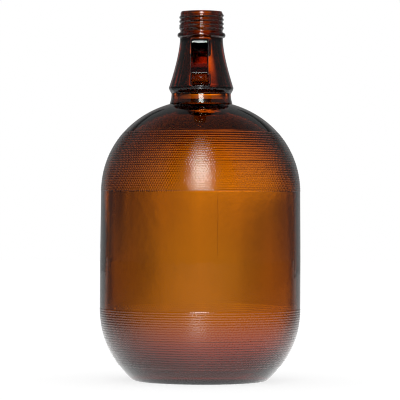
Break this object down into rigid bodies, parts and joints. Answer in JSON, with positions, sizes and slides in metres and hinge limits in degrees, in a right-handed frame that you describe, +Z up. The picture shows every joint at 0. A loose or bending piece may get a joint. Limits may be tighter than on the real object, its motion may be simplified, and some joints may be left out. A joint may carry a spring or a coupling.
{
  "type": "growler jug",
  "caption": "Round-shouldered amber glass growler with a finger loop on its neck, bead-knurled bands and a continuous-thread mouth.",
  "frame": {"origin": "centre of the ring that the jug stands on, on the jug's axis, at the height of the surface that it stands on", "axes": "+Z up along the jug's axis, towards the mouth; the finger loop points along -Y; +X to the right of a person who faces the loop"},
  "size_m": [0.1682, 0.1682, 0.309],
  "materials": {
    "amber_glass": "fire-polished amber soda-lime glass",
    "amber_glass_beaded": "amber soda-lime glass, moulded with rows of small round beads",
    "amber_glass_neck": "thick amber soda-lime glass"
  },
  "bodies": {
    "root": {"bottom_push_up": "amber_glass", "heel_ring": "amber_glass", "heel_bead_band": "amber_glass_beaded", "lower_bead_band": "amber_glass_beaded", "label_wall": "amber_glass", "upper_bead_band": "amber_glass_beaded", "shoulder_bead_band": "amber_glass_beaded", "shoulder_dome": "amber_glass", "neck_root": "amber_glass_neck", "neck_collar": "amber_glass_neck", "neck_flare": "amber_glass_neck", "finger_loop": "amber_glass_neck", "transfer_bead": "amber_glass_neck", "finish_barrel": "amber_glass_neck", "locking_ring": "amber_glass_neck", "screw_thread": "amber_glass_neck", "sealing_lip": "amber_glass_neck"}
  },
  "joints": []
}
